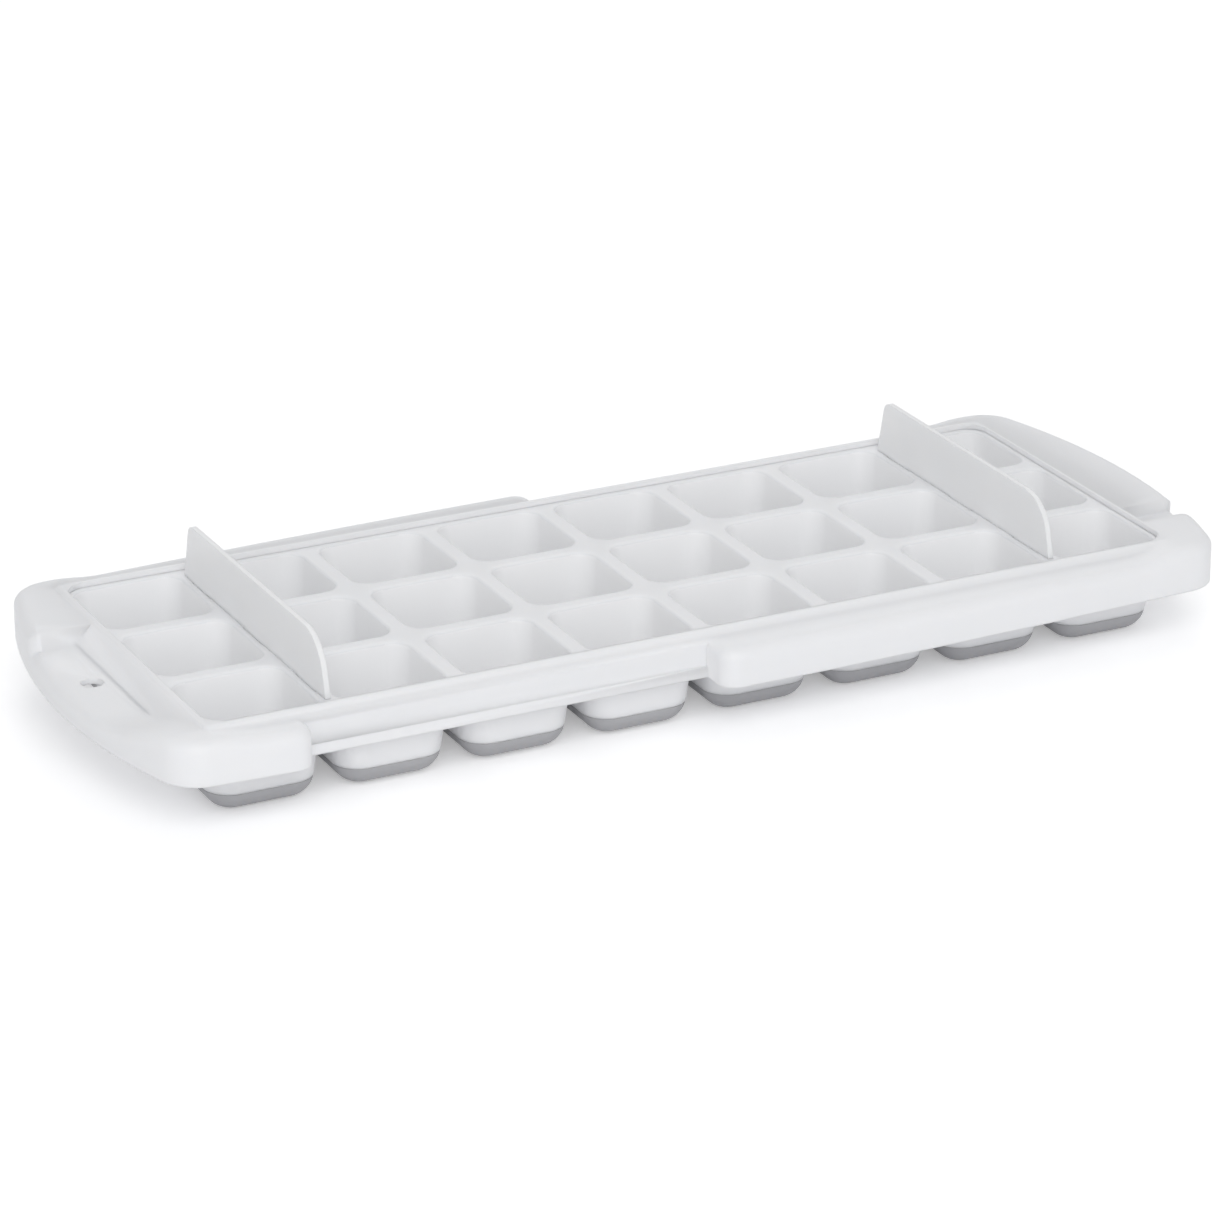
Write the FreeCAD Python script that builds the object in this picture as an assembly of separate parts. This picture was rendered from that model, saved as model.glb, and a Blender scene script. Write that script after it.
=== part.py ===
import FreeCAD, Part
import math
import os

# Ice cube tray: a stiff white moulding with a grid of pockets, a soft grey base under each
# pocket whose middle is pushed up to free a cube, and two upright plates that carry the
# tray stacked above. Millimetres, +X along the tray, +Y across it, Z = 0 under the bases.
# The moulding is one piece on the real tray. Here it is written as a frame and one slice
# per column of pockets, which meet face to face along the middle of the ribs.

Vec = FreeCAD.Vector
UP = Vec(0, 0, 1)

# Grid of pockets
columns = 8
rows = 3
pitch_x = 35.0
pitch_y = 34.2
rib_top = 25.6            # height of the rib tops above the ground
pocket_x = 30.2           # pocket opening along the tray
pocket_y = 29.6           # pocket opening across the tray
pocket_corner = 5.0       # corner radius of the opening
pocket_edge_round = 0.8
cup_wall = 1.4
cup_draft = 5.0           # degrees, each wall
cup_foot_corner = 7.7     # outside corner radius at the foot of a cup
cup_foot_round = 6.8      # outside rounding from wall to floor
floor = 1.8
deck = 3.0                # depth of the ribs between the cups

# Soft bases and their push pads
seam = 5.7                # height of the grey base
pad_size = 11.6
pad_corner = 3.2
pad_gap = 0.3             # cut line between the pad and the ring that holds it
pad_recess = 0.3          # the pad stays this far off the ground

# Rim round the pockets
rim_height = 1.5          # above the ribs
rim_land = 1.2            # flat strip between the outer pockets and the rim
rim_out_y = 53.0          # outer face of the rim, front and back
rim_crest_x = 1.0         # flat top of the rim at the ends
rim_slope_x = 5.6         # sloped end wall of the rim, in plan
rim_corner = 9.0
rim_round = 2.0
rim_cove = 5.0            # soft corner between the end wall and the low handle

# Flange and the skirt that hangs from its edge
flange_half_x = 159.4
flange_half_y = 63.7
flange_corner = 11.5
side_bow = 2600.0         # radius of the long edges in plan
end_bow = 180.0           # radius of the end edges in plan
skirt_foot = 14.6         # height of the lower edge of skirt and rim wall
sheet = 1.6               # thickness of flange, skirt and rim wall
flange_round = 3.0        # outer top edge
notch_y = 24.3            # step in the end flange, from the middle line
short_end_x = 114.2       # flange round a short corner stops here
long_end_x = 2.0          # flange round a long corner stops here
flange_end_round = 5.0    # upright corners where it stops

# Levels of the flange below (-) or above the rib tops, and the soft climbs between them
side_level = -0.6         # long sides
end_level = 0.6           # ends
corner_level = 1.5        # front right corner
notch_level = -2.6        # front right corner beside its notch
handle_level = -4.6       # low handle at the left end
side_climb = 124.0, 140.0     # where the long sides climb to the ends, along X
handle_climb = 20.0, 52.0     # where the handle climbs to the front left corner
corner_climb = 27.0, 39.0     # where the front right corner climbs from its notch

lip_height = 3.0          # thickened lower edge of the bare rim wall
lip_out = 0.6

# Hang hole in the low handle
hang_x = 150.0
hang_dia = 5.8

# Stacking plates, each slotted into the rib between two columns
plate_thick = 1.5
plate_column_gap = 1      # the plate stands between this column and the next, from each end
plate_height = 15.6       # above the rib tops
plate_half_foot = 46.4
plate_lean = 14.0         # degrees, slope of the plate's ends
plate_front_corner = 12.0
plate_back_corner = 3.0
tab_length = 12.0
tab_depth = 6.0
tab_side_gap = 0.15
tab_end_gap = 0.3

# Worked out from the sizes above
rim_top = rib_top + rim_height
handle_top = rib_top + handle_level
deck_foot = rib_top - deck
field_half_x = (columns - 1) * pitch_x / 2 + pocket_x / 2 + rim_land
field_half_y = (rows - 1) * pitch_y / 2 + pocket_y / 2 + rim_land
rim_half_x = field_half_x + rim_crest_x
rim_foot_x = rim_half_x + rim_slope_x
shrink = math.tan(math.radians(cup_draft))
beyond = 10.0             # how far cutting tools pass the faces they cut
tiny = 1e-6


def rounded_wire(half_x, half_y, radius, z):
    """A rectangle with round corners, centred on the origin at height z."""
    k = radius * (1 - math.sqrt(0.5))
    corners = [(1, 1), (-1, 1), (-1, -1), (1, -1)]
    ends = []
    for sx, sy in corners:
        on_x = Vec(sx * (half_x - radius), sy * half_y, z)
        on_y = Vec(sx * half_x, sy * (half_y - radius), z)
        middle = Vec(sx * (half_x - k), sy * (half_y - k), z)
        first, last = (on_y, on_x) if sx * sy > 0 else (on_x, on_y)
        ends.append((first, middle, last))
    edges = []
    for i, (first, middle, last) in enumerate(ends):
        edges.append(Part.Arc(first, middle, last).toShape())
        edges.append(Part.LineSegment(last, ends[(i + 1) % 4][0]).toShape())
    return Part.Wire(edges)


def rounded_block(half_x, half_y, radius, z0, z1):
    face = Part.Face(rounded_wire(half_x, half_y, radius, z0))
    return face.extrude(UP * (z1 - z0))


def box(x0, x1, y0, y1, z0, z1):
    return Part.makeBox(x1 - x0, y1 - y0, z1 - z0, Vec(x0, y0, z0))


def prism(points, direction):
    """A flat outline of straight runs, pushed along a direction."""
    return Part.Face(Part.makePolygon(points + points[:1])).extrude(direction)


def turned(shape):
    """The same shape half a turn round the upright middle line."""
    copy = shape.copy()
    copy.rotate(Vec(0, 0, 0), UP, 180)
    return copy


def column_x(column):
    return (column - 1 - (columns - 1) / 2) * pitch_x


def row_y(row):
    return (row - 1 - (rows - 1) / 2) * pitch_y


def cells():
    for row in range(1, rows + 1):
        for column in range(1, columns + 1):
            yield row, column, Vec(column_x(column), row_y(row), 0)


def cup_solid(grow, z0, z1, round_foot):
    """The space inside a pocket, or with grow = cup_wall the outside of its cup."""
    top = pocket_x / 2 + grow, pocket_y / 2 + grow
    sections = []
    for z in (z1, z0):
        inset = (rib_top - z) * shrink
        share = (rib_top - z) / rib_top
        corner = pocket_corner + grow
        corner += (cup_foot_corner - cup_wall - pocket_corner) * share
        sections.append(rounded_wire(top[0] - inset, top[1] - inset, corner, z))
    solid = Part.makeLoft(sections, True, True)
    foot = [e for e in solid.Edges if e.BoundBox.ZMax < z0 + tiny]
    return solid.makeFillet(round_foot, foot)


def at_places(shape, places):
    copies = []
    for place in places:
        copy = shape.copy()
        copy.translate(place)
        copies.append(copy)
    return copies


def outline_block(inset, z0, z1):
    """The plan outline of the flange: four shallow bows that meet in round corners."""
    height = z1 - z0
    block = None
    for sign in (1, -1):
        long_centre = Vec(0, sign * (side_bow - flange_half_y), z0)
        end_centre = Vec(sign * (end_bow - flange_half_x), 0, z0)
        for radius, centre in ((side_bow, long_centre), (end_bow, end_centre)):
            bow = Part.makeCylinder(radius - inset, height, centre)
            block = bow if block is None else block.common(bow)
    upright = [e for e in block.Edges if e.BoundBox.ZLength > height - tiny]
    return block.makeFillet(flange_corner - inset, upright)


def flange_zones(inset, z0, z1):
    """Where the flange is: a short stretch and a long stretch, and both turned round."""
    reach = flange_half_x + beyond
    short_zone = box(-reach, -short_end_x - inset, -reach, notch_y - inset, z0, z1)
    long_zone = box(-long_end_x + inset, reach, -reach, -notch_y - inset, z0, z1)
    zones = [short_zone, long_zone, turned(short_zone), turned(long_zone)]
    return zones[0].multiFuse(zones[1:])


def space_over(start, level, climb, far_level, end, sky):
    """A face over a level line that climbs in a soft S to a far level, in the YZ plane."""
    run = climb[1] - climb[0]
    rise = far_level - level
    radius = (run * run + rise * rise) / (4 * rise)
    swing = math.asin(run / 2 / radius) / 2
    along = radius * math.sin(swing)
    up = radius * (1 - math.cos(swing))
    foot = Vec(0, climb[0], level)
    middle = Vec(0, climb[0] + run / 2, level + rise / 2)
    head = Vec(0, climb[1], far_level)
    edges = [
        Part.Arc(foot, foot + Vec(0, along, up), middle).toShape(),
        Part.Arc(middle, head - Vec(0, along, up), head).toShape(),
    ]
    rest = [head, Vec(0, end, far_level), Vec(0, end, sky), Vec(0, start, sky),
            Vec(0, start, level), foot]
    edges += [Part.LineSegment(p, q).toShape() for p, q in zip(rest, rest[1:])]
    return Part.Face(Part.Wire(edges))


def along_side(side, y0, y1, level, far_level, sky):
    """The space over one end half of the long sides, between two lines across the tray."""
    face = space_over(0, level, side_climb, far_level, flange_half_x + beyond, sky)
    face.rotate(Vec(0, 0, 0), UP, -90)
    space = face.extrude(Vec(0, y1 - y0, 0))
    if side > 0:
        space.translate(Vec(0, y0, 0))
        return space
    space.translate(Vec(0, -y1, 0))
    return turned(space)


def across_end(side, notch, climb, level, far_level, sky):
    """The space over an end of the flange, from its notch to the front corner."""
    face = space_over(-notch, level, climb, far_level, flange_half_y + beyond, sky)
    start_x = rim_half_x - rim_corner
    space = face.extrude(Vec(flange_half_x + beyond - start_x, 0, 0))
    space.translate(Vec(start_x, 0, 0))
    mirrored = space.mirror(Vec(0, 0, 0), Vec(0, 1, 0))
    return mirrored if side > 0 else mirrored.mirror(Vec(0, 0, 0), Vec(1, 0, 0))


def flange_mass(inset, z0):
    """Flange and skirt as a solid, drawn in by inset on its sides and from above."""
    base = rib_top - inset
    z1 = base + corner_level
    sky = z1 + beyond
    reach = flange_half_x + beyond
    block = outline_block(inset, z0, z1).common(flange_zones(inset, z0, z1))
    stops = [e for e in block.Edges if e.BoundBox.ZLength > z1 - z0 - tiny
             and abs(e.CenterOfMass.y) > rim_out_y and beside_stop(e.CenterOfMass.x, inset)]
    block = block.makeFillet(flange_end_round - inset, stops)
    step = -notch_y - inset
    spaces = [
        along_side(-1, -reach, reach, base + side_level, base + end_level, sky),
        along_side(1, step, reach, base + side_level, base + end_level, sky),
        along_side(1, -reach, step, base + side_level, z1, sky),
        across_end(-1, notch_y - inset, handle_climb, base + handle_level,
                   base + end_level, sky),
        across_end(1, step, corner_climb, base + notch_level, z1, sky),
    ]
    block = block.cut(spaces).removeSplitter()
    return block.makeFillet(flange_round - inset, top_edges(block, z0))


def beside_stop(x, inset):
    """Whether x is where a stretch of the flange stops."""
    gap = min(abs(abs(x) - short_end_x - inset), abs(abs(x) - long_end_x + inset))
    return gap < sheet / 2


def top_edges(block, z0):
    """The upper edges of the upright round faces."""
    edges = []
    for face in block.Faces:
        if isinstance(face.Surface, Part.Cylinder) and abs(face.Surface.Axis.z) > 0.5:
            edges += [e for e in face.Edges if e.BoundBox.ZMin > z0 + tiny]
    return edges


def rim_mass(inset, z0, z1):
    """The rim round the pockets as a solid, with sloped ends."""
    half_y = rim_out_y - inset
    outer = rounded_block(rim_foot_x - inset, half_y, rim_corner - inset, z0, z1)
    slope_foot = handle_top - inset
    points = [
        Vec(-rim_foot_x + inset, 0, z0),
        Vec(-rim_foot_x + inset, 0, slope_foot),
        Vec(-rim_half_x + inset, 0, rim_top),
        Vec(rim_half_x - inset, 0, rim_top),
        Vec(rim_foot_x - inset, 0, slope_foot),
        Vec(rim_foot_x - inset, 0, z0),
    ]
    ends = prism(points, Vec(0, 2 * rim_out_y, 0))
    ends.translate(Vec(0, -rim_out_y, 0))
    crests = [e for e in ends.Edges if e.BoundBox.ZMin > rim_top - tiny
              and e.BoundBox.XLength < tiny]
    return outer.common(ends.makeFillet(rim_round, crests))


def rounded_rim():
    """The outside of the rim, rounded along the edge of its top and its sloped ends."""
    block = rim_mass(0, skirt_foot, rim_top)
    edges = []
    for face in block.Faces:
        u0, u1, v0, v1 = face.ParameterRange
        upright = abs(face.normalAt((u0 + u1) / 2, (v0 + v1) / 2).z) < tiny
        if upright and face.BoundBox.YLength < rim_corner + tiny:
            edges += [e for e in face.Edges if e.BoundBox.ZMin > handle_top - tiny]
    return block.makeFillet(rim_round, edges)


def handle_cove():
    """The soft inner corner of the low handle."""
    slope = math.atan2(rim_top - handle_top, rim_slope_x)
    reach = rim_cove * math.tan(slope / 2)
    foot = Vec(-rim_foot_x, 0, handle_top)
    out = foot - Vec(reach, 0, 0)
    up = foot + Vec(reach * math.cos(slope), 0, reach * math.sin(slope))
    middle = out + Vec(rim_cove * math.sin(slope / 2), 0, rim_cove * (1 - math.cos(slope / 2)))
    edges = [Part.LineSegment(out, foot).toShape(), Part.LineSegment(foot, up).toShape(),
             Part.Arc(up, middle, out).toShape()]
    face = Part.Face(Part.Wire(edges))
    cove = face.extrude(Vec(0, handle_climb[1] + notch_y, 0))
    cove.translate(Vec(0, -handle_climb[1], 0))
    return cove


def rim_lips():
    """The thickened lower edge of the rim wall, where no flange hangs over it."""
    y = -rim_out_y
    lip = box(-short_end_x, -long_end_x, y - lip_out, y, skirt_foot, skirt_foot + lip_height)
    return [lip, turned(lip)]


def plate_x(side):
    return side * ((columns / 2 - plate_column_gap) * pitch_x)


def plate_slots():
    """Slots through the ribs that take the tabs of the stacking plates."""
    half_x = plate_thick / 2 + tab_side_gap
    half_y = tab_length / 2 + tab_end_gap
    slots = []
    for side in (-1, 1):
        x = plate_x(side)
        for row in range(1, rows + 1):
            y = row_y(row)
            slots.append(box(x - half_x, x + half_x, y - half_y, y + half_y,
                             deck_foot - beyond / 2, rib_top + beyond))
    return slots


def moulding():
    """The whole white moulding."""
    outer = rounded_rim().fuse([flange_mass(0, skirt_foot), handle_cove()])
    keep = rim_mass(0, deck_foot, rim_top)
    hollow = flange_mass(sheet, skirt_foot - beyond).cut(keep)
    hollow = hollow.fuse(rim_mass(sheet, skirt_foot - beyond, deck_foot))
    centres = [centre for row, column, centre in cells()]
    cups = cup_solid(cup_wall, 0, rib_top, cup_foot_round)
    cups = cups.common(box(-pitch_x, pitch_x, -pitch_y, pitch_y, seam, rib_top))
    body = outer.cut(hollow)
    body = body.multiFuse(at_places(cups, centres) + rim_lips())
    field = rounded_block(field_half_x, field_half_y, pocket_corner + rim_land,
                          rib_top, rib_top + beyond)
    hole = Part.makeCylinder(hang_dia / 2, 2 * beyond, Vec(-hang_x, 0, handle_top - beyond))
    return body.cut([field, hole] + at_places(pocket_space(), centres) + plate_slots())


def pocket_space():
    """The hollow of a pocket with a rounded brim, as a cutting tool."""
    block = box(-pitch_x / 2, pitch_x / 2, -pitch_y / 2, pitch_y / 2, 0, rib_top)
    holed = block.cut(cup_solid(0, floor, rib_top, cup_foot_round - cup_wall))
    brim = [e for e in holed.Edges if e.BoundBox.ZMin > rib_top - tiny
            and abs(e.CenterOfMass.x) < pocket_x / 2 + tiny
            and abs(e.CenterOfMass.y) < pocket_y / 2 + tiny]
    return block.cut(holed.makeFillet(pocket_edge_round, brim))


def slice_box(column):
    """The block of space that holds one column of pockets and its cups."""
    half_y = (rows - 1) * pitch_y / 2 + pocket_y / 2 + cup_wall
    end = (columns - 1) * pitch_x / 2 + pocket_x / 2 + cup_wall
    x0 = -end if column == 1 else column_x(column) - pitch_x / 2
    x1 = end if column == columns else column_x(column) + pitch_x / 2
    return box(x0, x1, -half_y, half_y, -beyond, rib_top)


def base_ring():
    cup = cup_solid(cup_wall, 0, rib_top, cup_foot_round)
    cup = cup.common(box(-pitch_x, pitch_x, -pitch_y, pitch_y, 0, seam))
    half = pad_size / 2 + pad_gap
    hole = rounded_block(half, half, pad_corner + pad_gap, -beyond, seam)
    return cup.cut([pocket_space(), hole])


def push_pad():
    return rounded_block(pad_size / 2, pad_size / 2, pad_corner, pad_recess, floor)


def stacking_plate(side):
    """An upright plate with leaning ends, and tabs that drop into the rib's slots."""
    lean = math.tan(math.radians(plate_lean))
    top_half = plate_half_foot - plate_height * lean
    top = rib_top + plate_height
    points = [
        Vec(0, -plate_half_foot, rib_top),
        Vec(0, plate_half_foot, rib_top),
        Vec(0, top_half, top),
        Vec(0, -top_half, top),
    ]
    plate = prism(points, Vec(plate_thick, 0, 0))
    for sign, radius in ((-1, plate_front_corner), (1, plate_back_corner)):
        corner = [e for e in plate.Edges if e.BoundBox.XLength > plate_thick - tiny
                  and e.BoundBox.ZMin > top - tiny and e.CenterOfMass.y * sign > 0]
        plate = plate.makeFillet(radius, corner)
    half = tab_length / 2
    tabs = [box(0, plate_thick, row_y(row) - half, row_y(row) + half,
                rib_top - tab_depth, rib_top) for row in range(1, rows + 1)]
    plate = plate.multiFuse(tabs).removeSplitter()
    plate.translate(Vec(plate_x(side) - plate_thick / 2, 0, 0))
    return plate


def save(shape, node):
    shape.exportStep("parts/" + node + ".step")
    print(node, "solids", len(shape.Solids), "valid", shape.isValid(), round(shape.Volume, 1))


os.makedirs("parts", exist_ok=True)
whole = moulding()
save(whole.cut([slice_box(column) for column in range(1, columns + 1)]), "tray_frame")
for column in range(1, columns + 1):
    save(whole.common(slice_box(column)), "pocket_column_%d" % column)
places = [centre for row, column, centre in cells()]
save(Part.Compound(at_places(base_ring(), places)), "soft_base_rings")
for row, column, centre in cells():
    save(at_places(push_pad(), [centre])[0], "push_pad_row%d_column%d" % (row, column))
save(stacking_plate(-1), "stacking_plate_left")
save(stacking_plate(1), "stacking_plate_right")
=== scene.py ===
import math

import bmesh
import bpy
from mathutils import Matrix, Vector
from mathutils.kdtree import KDTree


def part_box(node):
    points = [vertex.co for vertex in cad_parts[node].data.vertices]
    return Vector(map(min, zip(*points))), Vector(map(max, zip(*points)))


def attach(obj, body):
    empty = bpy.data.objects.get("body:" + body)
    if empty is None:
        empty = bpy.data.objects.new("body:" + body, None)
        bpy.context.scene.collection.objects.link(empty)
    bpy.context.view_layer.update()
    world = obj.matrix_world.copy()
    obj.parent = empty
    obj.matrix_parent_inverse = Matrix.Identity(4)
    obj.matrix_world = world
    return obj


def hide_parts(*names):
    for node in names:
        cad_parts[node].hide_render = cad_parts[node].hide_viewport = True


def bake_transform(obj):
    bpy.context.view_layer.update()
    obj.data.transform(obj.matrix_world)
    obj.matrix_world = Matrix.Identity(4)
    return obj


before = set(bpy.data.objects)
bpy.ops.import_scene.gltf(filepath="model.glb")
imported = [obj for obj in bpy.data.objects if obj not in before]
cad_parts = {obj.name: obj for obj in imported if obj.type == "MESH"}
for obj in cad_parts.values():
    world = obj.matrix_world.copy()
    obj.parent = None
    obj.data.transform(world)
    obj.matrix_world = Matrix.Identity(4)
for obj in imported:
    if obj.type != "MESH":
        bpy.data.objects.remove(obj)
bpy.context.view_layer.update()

# Sizes in metres, angles in degrees, directions seen from the tray's middle
plate_height = 0.0156  # of a stacking plate over the ribs
rib_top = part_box("stacking_plate_left")[1].z - plate_height

# Camera, as it stood for the photograph
camera_azimuth = 26.635
camera_elevation = 22.386
camera_distance = 1.3274
camera_right = -0.002877
camera_up = -0.011469
photo_side = 1220  # pixels
focal_pixels = 5000
sensor = 36.0  # millimetres

# Joining the white moulding's solids, and where its pockets get painted light
seam_slack = 0.000002  # how far a vertex on a shared plane may lie off it
weld = 0.000004
sharp_angle = 32
pocket_reach = 0.0161  # from a pocket's middle to just outside its brim
brim_depth = 0.0006  # the rounded brim, which keeps the outer plastic and not the pockets' painted light

# Soft skin between each ring and its push pad
skin_outer = 0.0074  # half its width at the ring
skin_inner = 0.0046  # half its width at the pad
skin_rise = 0.0007
skin_half_thick = 0.0004
skin_steps = 8
skin_corner = 0.0030
corner_steps = 6

# Plastic
drift_scale = 38.0
drift_range = (0.35, 0.68)
matt_scale = 160.0
grain_scale = 2600.0
grain_depth = 0.0002
edge_samples = 6
scatter_depth = 0.004
scatter_tint = (1.0, 0.95, 0.9)

# Floor and light
floor_size = 12
floor_level = -0.0002
floor_colour = (0.95, 0.95, 0.955, 1)
floor_glow = 0.30
sky_colour = (0.985, 0.99, 1.0, 1)
sky_strength = 0.56
lamps = (  # name, azimuth, elevation, distance, size, power
    ("key", -20, 42, 2.2, 1.4, 15),
    ("back", 150, 45, 2.2, 1.4, 6),
    ("low", -28, 6, 2.2, 1.0, 5),
)
diffuse_bounces = 12  # light goes to and fro many times inside a white pocket
all_bounces = 24


def new_material(name):
    material = bpy.data.materials.new(name)
    material.use_nodes = True
    tree = material.node_tree
    tree.nodes.clear()
    output = tree.nodes.new("ShaderNodeOutputMaterial")
    return material, tree, output


def node(tree, kind, **settings):
    made = tree.nodes.new("ShaderNode" + kind)
    for name, value in settings.items():
        setattr(made, name, value)
    return made


def ramp(tree, source, low, high, first, second):
    """Colour that goes from first to second as source goes from low to high."""
    made = node(tree, "ValToRGB")
    made.color_ramp.elements[0].position = low
    made.color_ramp.elements[0].color = (*first, 1)
    made.color_ramp.elements[1].position = high
    made.color_ramp.elements[1].color = (*second, 1)
    tree.links.new(source, made.inputs["Fac"])
    return made.outputs["Color"]


def noise(tree, place, scale, detail, rough=0.5):
    made = node(tree, "TexNoise")
    made.inputs["Scale"].default_value = scale
    made.inputs["Detail"].default_value = detail
    made.inputs["Roughness"].default_value = rough
    tree.links.new(place, made.inputs["Vector"])
    return made.outputs["Fac"]


def mix_shaders(tree, share, first, second, output):
    """The first shader where share is 0 and the second where it is 1."""
    mix = node(tree, "MixShader")
    tree.links.new(share, mix.inputs["Fac"])
    tree.links.new(first.outputs[0], mix.inputs[1])
    tree.links.new(second.outputs[0], mix.inputs[2])
    tree.links.new(mix.outputs[0], output.inputs["Surface"])


def either(tree, first, second):
    """1 where either of two ray kinds is 1."""
    made = node(tree, "Math", operation="MAXIMUM")
    tree.links.new(first, made.inputs[0])
    tree.links.new(second, made.inputs[1])
    return made.outputs[0]


def plastic(name, pale, deep, roughness, grain, round_edge, scatter=0.0):
    """Moulded plastic: slow colour drift, fine moulded grain and softened edges."""
    material, tree, output = new_material(name)
    place = node(tree, "TexCoord").outputs["Object"]
    shader = node(tree, "BsdfPrincipled")
    drift = noise(tree, place, drift_scale, 2.0)
    tree.links.new(ramp(tree, drift, *drift_range, pale, deep), shader.inputs["Base Color"])
    low, high = roughness
    matt = noise(tree, place, matt_scale, 4.0, 0.6)
    spread = node(tree, "MapRange")
    spread.inputs["To Min"].default_value = low
    spread.inputs["To Max"].default_value = high
    tree.links.new(matt, spread.inputs["Value"])
    tree.links.new(spread.outputs["Result"], shader.inputs["Roughness"])
    soft_edge = node(tree, "Bevel", samples=edge_samples)
    soft_edge.inputs["Radius"].default_value = round_edge
    bump = node(tree, "Bump")
    bump.inputs["Strength"].default_value = grain
    bump.inputs["Distance"].default_value = grain_depth
    tree.links.new(noise(tree, place, grain_scale, 2.0, 0.6), bump.inputs["Height"])
    tree.links.new(soft_edge.outputs["Normal"], bump.inputs["Normal"])
    tree.links.new(bump.outputs["Normal"], shader.inputs["Normal"])
    if scatter > 0:
        shader.inputs["Subsurface Weight"].default_value = scatter
        shader.inputs["Subsurface Radius"].default_value = scatter_tint
        shader.inputs["Subsurface Scale"].default_value = scatter_depth
    tree.links.new(shader.outputs["BSDF"], output.inputs["Surface"])
    return material


def nodes_called(*beginnings):
    """The names of the frame's nodes that begin so, in order."""
    return sorted(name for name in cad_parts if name.startswith(beginnings))


def dress(name, material):
    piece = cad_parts[name]
    piece.data.materials.clear()
    piece.data.materials.append(material)


def add_piece(name, mesh, *materials):
    """A smooth object of a finished bmesh, which is freed."""
    data = bpy.data.meshes.new(name)
    mesh.to_mesh(data)
    mesh.free()
    data.shade_smooth()
    for material in materials:
        data.materials.append(material)
    piece = bpy.data.objects.new(name, data)
    bpy.context.scene.collection.objects.link(piece)
    return piece


def on_plane(face, axis, places):
    """Whether a face lies flat on a plane across an axis at one of the places."""
    return any(all(abs(v.co[axis] - place) < seam_slack for v in face.verts)
               for place in places)


def pocket_centres():
    """The middles of the pockets, over the push pads, ready to be searched."""
    boxes = [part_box(name) for name in nodes_called("push_pad_")]
    centres = KDTree(len(boxes))
    for index, (low, high) in enumerate(boxes):
        centres.insert(((low.x + high.x) / 2, (low.y + high.y) / 2, 0), index)
    centres.balance()
    return centres


def looks_into_pocket(face, centres):
    """Whether a face lies below a pocket's brim and is turned to the pocket's middle."""
    place = face.calc_center_median()
    centre = centres.find((place.x, place.y, 0))[0]
    way = centre - Vector((place.x, place.y, 0))
    near = max(abs(way.x), abs(way.y)) < pocket_reach
    return near and place.z < rib_top - brim_depth and face.normal.dot(way) > 0


def join_moulding(outside, pocket_painted_light):
    """The white moulding in one piece: its solids joined, without the faces they share.
    Faces inside the pockets get the second material, a lighter copy of the white that
    paints light into the pockets' shade.
    """
    slices = nodes_called("pocket_column_")
    boxes = [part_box(name) for name in slices]
    across = sorted({round(corner.x, 6) for pair in boxes for corner in pair})
    along = [boxes[0][0].y, boxes[0][1].y]
    mesh = bmesh.new()
    for name in ["tray_frame"] + slices:
        mesh.from_mesh(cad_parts[name].data)
    shared = [f for f in mesh.faces if on_plane(f, 0, across) or on_plane(f, 1, along)]
    bmesh.ops.delete(mesh, geom=shared, context="FACES")
    bmesh.ops.remove_doubles(mesh, verts=mesh.verts, dist=weld)
    centres = pocket_centres()
    # Painted light: faces that look into a pocket get the lighter second material
    for face in mesh.faces:
        face.material_index = 1 if looks_into_pocket(face, centres) else 0
    piece = add_piece("white_moulding", mesh, outside, pocket_painted_light)
    piece.data.set_sharp_from_angle(angle=math.radians(sharp_angle))
    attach(piece, "tray")
    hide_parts("tray_frame", *slices)


def rounded_loop(half, corner, z):
    """Points round a square with round corners, at height z."""
    points = []
    centre = half - corner
    for quarter, (sx, sy) in enumerate(((1, 1), (-1, 1), (-1, -1), (1, -1))):
        for step in range(corner_steps + 1):
            angle = math.radians(90 * (quarter + step / corner_steps))
            x = sx * centre + corner * math.cos(angle)
            y = sy * centre + corner * math.sin(angle)
            points.append((x, y, z))
    return points


def skin_mesh(centre, pad_top):
    """A thin closed skin that dips from the ring's floor to the pad's top."""
    mesh = bmesh.new()
    levels = []
    for step in range(skin_steps + 1):
        t = step / skin_steps
        half = skin_outer + (skin_inner - skin_outer) * t
        ease = t * t * (3 - 2 * t)
        levels.append((half, pad_top + skin_rise * (1 - ease) + skin_half_thick))
    for half, z in levels[::-1]:
        levels.append((half, z - 2 * skin_half_thick))
    rings = []
    for half, z in levels:
        loop = rounded_loop(half, skin_corner, z)
        rings.append([mesh.verts.new((centre.x + x, centre.y + y, h)) for x, y, h in loop])
    count = len(rings[0])
    for first, second in zip(rings, rings[1:] + rings[:1]):
        for i in range(count):
            j = (i + 1) % count
            mesh.faces.new((first[i], first[j], second[j], second[i]))
    bmesh.ops.recalc_face_normals(mesh, faces=mesh.faces)
    return mesh


def add_skins(material):
    """One soft skin under each pocket, shaped from the ring's floor to the pad's top."""
    for name in nodes_called("push_pad_"):
        low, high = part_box(name)
        centre = (low + high) / 2
        mesh = skin_mesh(centre, high.z)
        piece = add_piece(name.replace("push_pad", "soft_skin"), mesh, material)
        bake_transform(piece)


def add_floor():
    """A pale floor, which glows a little where it is seen, and keeps the shadow."""
    bpy.ops.mesh.primitive_plane_add(size=floor_size, location=(0, 0, floor_level))
    floor = bpy.context.object
    floor.name = "floor"
    material, tree, output = new_material("pale_floor")
    matt = node(tree, "BsdfDiffuse")
    matt.inputs["Color"].default_value = floor_colour
    glow = node(tree, "Emission")
    glow.inputs["Strength"].default_value = floor_glow
    lit = node(tree, "AddShader")
    tree.links.new(matt.outputs[0], lit.inputs[0])
    tree.links.new(glow.outputs[0], lit.inputs[1])
    rays = node(tree, "LightPath").outputs
    seen = either(tree, rays["Is Camera Ray"], rays["Is Glossy Ray"])
    seen = either(tree, seen, rays["Is Transmission Ray"])
    mix_shaders(tree, seen, matt, lit, output)
    floor.data.materials.append(material)


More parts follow.
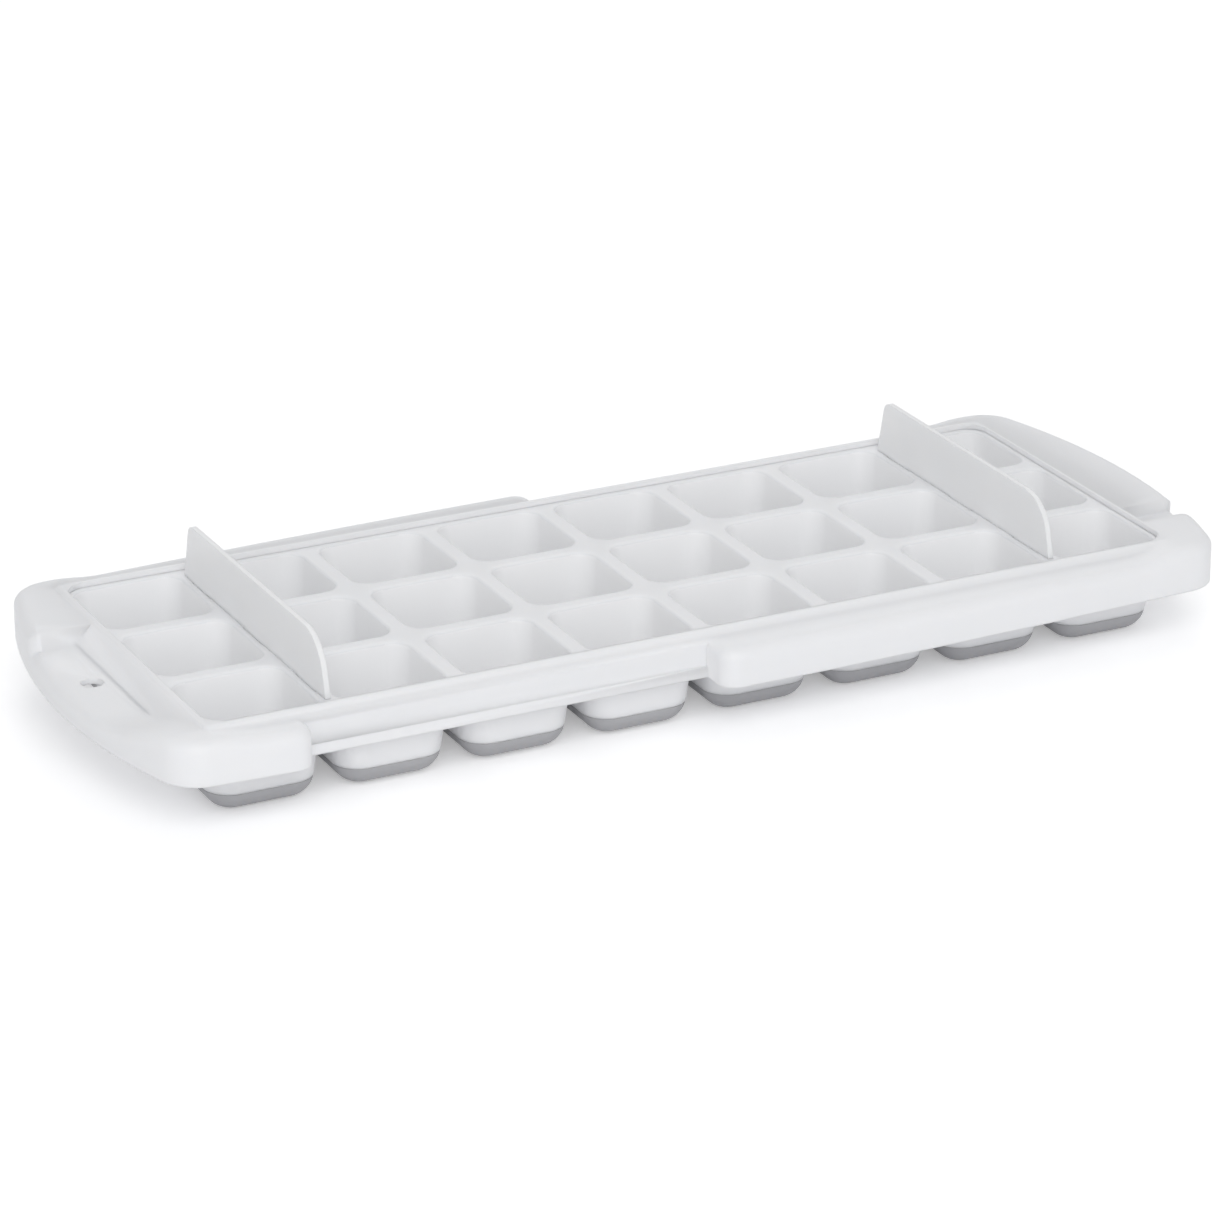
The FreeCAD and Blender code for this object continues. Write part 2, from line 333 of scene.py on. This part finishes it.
def add_world():
    """White for camera and transmission rays, softer as light on the object."""
    world = bpy.data.worlds.new("studio")
    bpy.context.scene.world = world
    world.use_nodes = True
    tree = world.node_tree
    tree.nodes.clear()
    output = node(tree, "OutputWorld")
    bright = node(tree, "Background")
    bright.inputs["Color"].default_value = (1, 1, 1, 1)
    bright.inputs["Strength"].default_value = 1.0
    soft = node(tree, "Background")
    soft.inputs["Color"].default_value = sky_colour
    soft.inputs["Strength"].default_value = sky_strength
    rays = node(tree, "LightPath").outputs
    seen = either(tree, rays["Is Camera Ray"], rays["Is Transmission Ray"])
    mix_shaders(tree, seen, soft, bright, output)


def add_lamp(name, azimuth, elevation, distance, size, power):
    """A square soft lamp that looks at the tray."""
    a = math.radians(azimuth)
    e = math.radians(elevation)
    place = Vector((math.sin(a) * math.cos(e), -math.cos(a) * math.cos(e), math.sin(e)))
    data = bpy.data.lights.new(name, "AREA")
    data.size = size
    data.energy = power
    lamp = bpy.data.objects.new(name, data)
    lamp.location = place * distance
    lamp.rotation_euler = (-place).to_track_quat("-Z", "Y").to_euler()
    bpy.context.scene.collection.objects.link(lamp)


def add_camera():
    a = math.radians(camera_azimuth)
    e = math.radians(camera_elevation)
    ahead = Vector((math.sin(a) * math.cos(e), math.cos(a) * math.cos(e), -math.sin(e)))
    right = Vector((math.cos(a), -math.sin(a), 0))
    up = right.cross(ahead)
    place = Vector((0, 0, rib_top)) - ahead * camera_distance
    place += right * camera_right + up * camera_up
    data = bpy.data.cameras.new("camera")
    data.sensor_width = sensor
    data.sensor_height = sensor
    data.sensor_fit = "HORIZONTAL"
    data.lens = sensor * focal_pixels / photo_side
    camera = bpy.data.objects.new("camera", data)
    camera.location = place
    camera.rotation_euler = ahead.to_track_quat("-Z", "Y").to_euler()
    bpy.context.scene.collection.objects.link(camera)
    bpy.context.scene.camera = camera


white = plastic("white_plastic", (0.88, 0.882, 0.896), (0.865, 0.87, 0.884),
                (0.38, 0.52), 0.05, 0.0007, scatter=0.5)
# Painted light: a lighter copy of the white plastic for the pocket walls, which takes away
# the shade inside the pockets
pocket_painted_light = plastic("pocket_plastic_painted_light", (0.985, 0.987, 0.992), (0.975, 0.978, 0.985),
                 (0.30, 0.42), 0.03, 0.0007)
plate_white = plastic("plate_plastic", (0.93, 0.935, 0.94), (0.91, 0.918, 0.928),
                      (0.34, 0.46), 0.04, 0.0004, scatter=0.5)
grey = plastic("soft_rubber", (0.44, 0.44, 0.455), (0.41, 0.41, 0.425),
               (0.55, 0.72), 0.12, 0.0006)
join_moulding(white, pocket_painted_light)
for name in nodes_called("stacking_plate_"):
    dress(name, plate_white)
for name in nodes_called("push_pad_", "soft_base_"):
    dress(name, grey)
add_skins(grey)
add_floor()
add_world()
for lamp in lamps:
    add_lamp(*lamp)
add_camera()
bpy.context.scene.view_settings.view_transform = "Standard"
bpy.context.scene.cycles.diffuse_bounces = diffuse_bounces
bpy.context.scene.cycles.max_bounces = all_bounces
